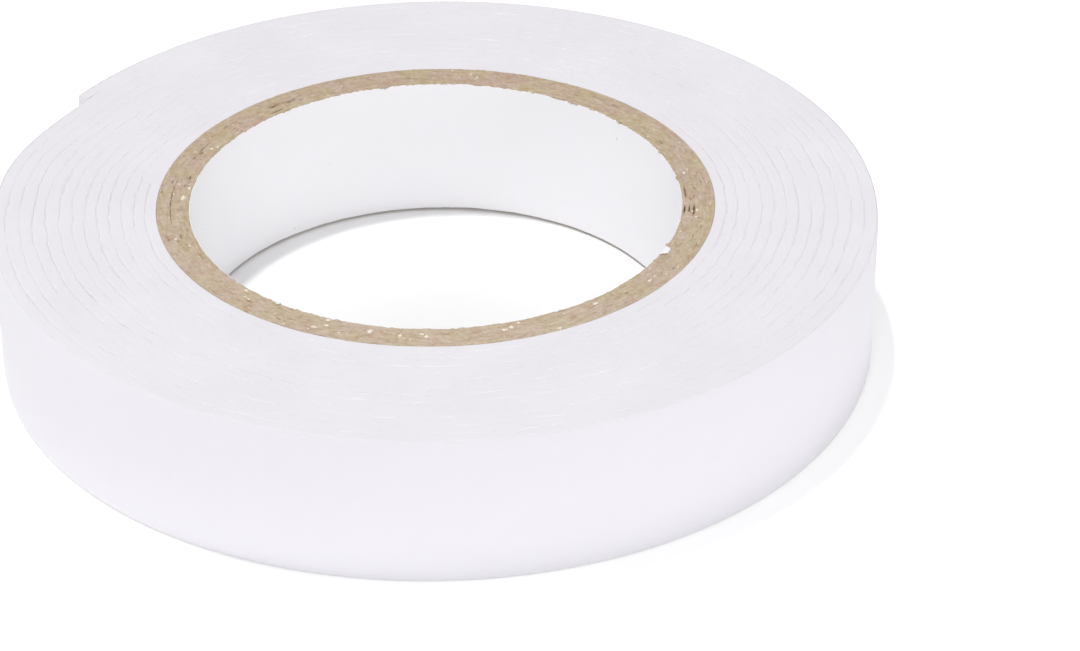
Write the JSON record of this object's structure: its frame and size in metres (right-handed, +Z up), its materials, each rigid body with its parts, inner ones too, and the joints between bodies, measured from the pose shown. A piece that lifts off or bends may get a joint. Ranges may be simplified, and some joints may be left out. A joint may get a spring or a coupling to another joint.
{
  "type": "roll of foam tape",
  "caption": "Roll of white double-sided foam tape wound on a kraft paper core, with a free end that peels off the roll and a release liner that peels off the tape.",
  "frame": {"origin": "centre of the core's bore at the roll's lower side", "axes": "+Z up along the core's axis, +X to the right and +Y away from the viewer in the picture"},
  "size_m": [0.1374, 0.1376, 0.024],
  "materials": {
    "bore_paper": "satin",
    "kraft": "matte",
    "foam": "matte",
    "adhesive": "gloss",
    "liner": "satin"
  },
  "bodies": {
    "roll": {"core_bore_paper": "bore_paper", "core_ply_1": "kraft", "core_ply_2": "kraft", "core_ply_3": "kraft", "core_ply_4": "kraft", "core_ply_5": "kraft", "wound_inner_adhesive": "adhesive", "wound_foam": "foam", "wound_outer_adhesive": "adhesive", "wound_liner": "liner"},
    "tape_end_1": {"end_1_inner_adhesive": "adhesive", "end_1_foam": "foam", "end_1_outer_adhesive": "adhesive", "end_1_liner": "liner"},
    "tape_end_2": {"end_2_inner_adhesive": "adhesive", "end_2_foam": "foam", "end_2_outer_adhesive": "adhesive", "end_2_liner": "liner"},
    "tape_end_3": {"end_3_inner_adhesive": "adhesive", "end_3_foam": "foam", "end_3_outer_adhesive": "adhesive", "end_3_liner": "liner"},
    "tape_end_4": {"end_4_inner_adhesive": "adhesive", "end_4_foam": "foam", "end_4_outer_adhesive": "adhesive", "end_4_liner": "liner"},
    "tape_end_5": {"end_5_inner_adhesive": "adhesive", "end_5_foam": "foam", "end_5_outer_adhesive": "adhesive", "end_5_liner": "liner"},
    "liner_tab_1": {"liner_tab_1": "liner"},
    "liner_tab_2": {"liner_tab_2": "liner"},
    "liner_tab_3": {"liner_tab_3": "liner"}
  },
  "joints": [
    {"name": "tape_peel", "type": "hinge", "parent": "roll", "child": "tape_end_1", "pos_m": [0.0024, 0.0688, 0], "axis": [0, 0, -1], "range_deg": [0, 25]},
    {"name": "tape_bend_2", "type": "hinge", "parent": "tape_end_1", "child": "tape_end_2", "pos_m": [-0.01195, 0.0678, 0], "axis": [0, 0, -1], "range_deg": [0, 25]},
    {"name": "tape_bend_3", "type": "hinge", "parent": "tape_end_2", "child": "tape_end_3", "pos_m": [-0.02579, 0.06383, 0], "axis": [0, 0, -1], "range_deg": [0, 25]},
    {"name": "tape_bend_4", "type": "hinge", "parent": "tape_end_3", "child": "tape_end_4", "pos_m": [-0.0385, 0.05707, 0], "axis": [0, 0, -1], "range_deg": [0, 25]},
    {"name": "tape_bend_5", "type": "hinge", "parent": "tape_end_4", "child": "tape_end_5", "pos_m": [-0.04952, 0.04782, 0], "axis": [0, 0, -1], "range_deg": [0, 25]},
    {"name": "liner_peel", "type": "hinge", "parent": "tape_end_5", "child": "liner_tab_1", "pos_m": [-0.05192, 0.04476, 0], "axis": [0, 0, -1], "range_deg": [0, 55]},
    {"name": "liner_bend_2", "type": "hinge", "parent": "liner_tab_1", "child": "liner_tab_2", "pos_m": [-0.05407, 0.042, 0], "axis": [0, 0, -1], "range_deg": [0, 55]},
    {"name": "liner_bend_3", "type": "hinge", "parent": "liner_tab_2", "child": "liner_tab_3", "pos_m": [-0.05623, 0.03924, 0], "axis": [0, 0, -1], "range_deg": [0, 55]}
  ],
  "couplings": [
    {"joint": "tape_bend_2", "follows": "tape_peel", "ratio": 1},
    {"joint": "tape_bend_3", "follows": "tape_peel", "ratio": 1},
    {"joint": "tape_bend_4", "follows": "tape_peel", "ratio": 1},
    {"joint": "tape_bend_5", "follows": "tape_peel", "ratio": 1},
    {"joint": "liner_bend_2", "follows": "liner_peel", "ratio": 1},
    {"joint": "liner_bend_3", "follows": "liner_peel", "ratio": 1}
  ]
}
